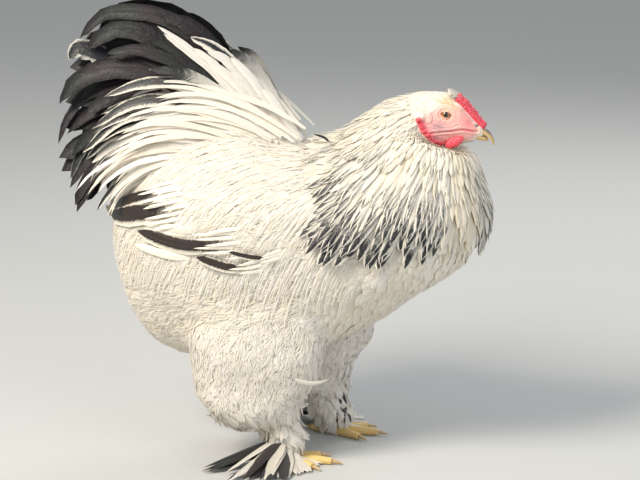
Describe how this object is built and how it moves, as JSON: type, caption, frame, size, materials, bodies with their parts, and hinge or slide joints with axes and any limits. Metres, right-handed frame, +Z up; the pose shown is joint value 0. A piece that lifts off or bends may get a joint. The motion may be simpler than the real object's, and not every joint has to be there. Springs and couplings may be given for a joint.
{
  "type": "light brahma cockerel model",
  "caption": "Life-size still model of a standing light Brahma cockerel with its neck drawn in, a bowed dark tail, a striped hackle and feathered feet.",
  "frame": {"origin": "on the floor, under the middle of the bounding box", "axes": "+X towards the beak, +Z up, the bird's left side is towards +Y"},
  "size_m": [0.5526, 0.3294, 0.5501],
  "materials": {
    "white_feather": "soft cream-white body feathers",
    "hackle_feather": "cream-white lanceolate feathers with a dark stripe",
    "black_feather": "glossy black feathers with a green and purple sheen",
    "leg_feather": "fluffy down and feathers on thighs, shanks and toes",
    "face_skin": "bare pink skin with short white feathers on the crown",
    "red_skin": "red pebbled skin of the comb and wattles",
    "earlobe_skin": "smooth pale pink skin",
    "horn": "yellowish horn of the beak and claws, dark along the top of the beak",
    "eye": "wet amber eye with a black pupil"
  },
  "bodies": {
    "root": {"claw_hind_left": "horn", "claw_hind_right": "horn", "claw_inner_left": "horn", "claw_inner_right": "horn", "claw_middle_left": "horn", "claw_middle_right": "horn", "claw_outer_left": "horn", "claw_outer_right": "horn", "comb": "red_skin", "earlobe_left": "earlobe_skin", "earlobe_right": "earlobe_skin", "eye_left": "eye", "eye_right": "eye", "foot_left": "leg_feather", "foot_right": "leg_feather", "head": "face_skin", "lower_beak": "horn", "neck": "hackle_feather", "shank_left": "leg_feather", "shank_right": "leg_feather", "tail": "black_feather", "thigh_left": "leg_feather", "thigh_right": "leg_feather", "torso": "white_feather", "upper_beak": "horn", "wattle_left": "red_skin", "wattle_right": "red_skin", "wing_left": "white_feather", "wing_right": "white_feather"}
  },
  "joints": []
}
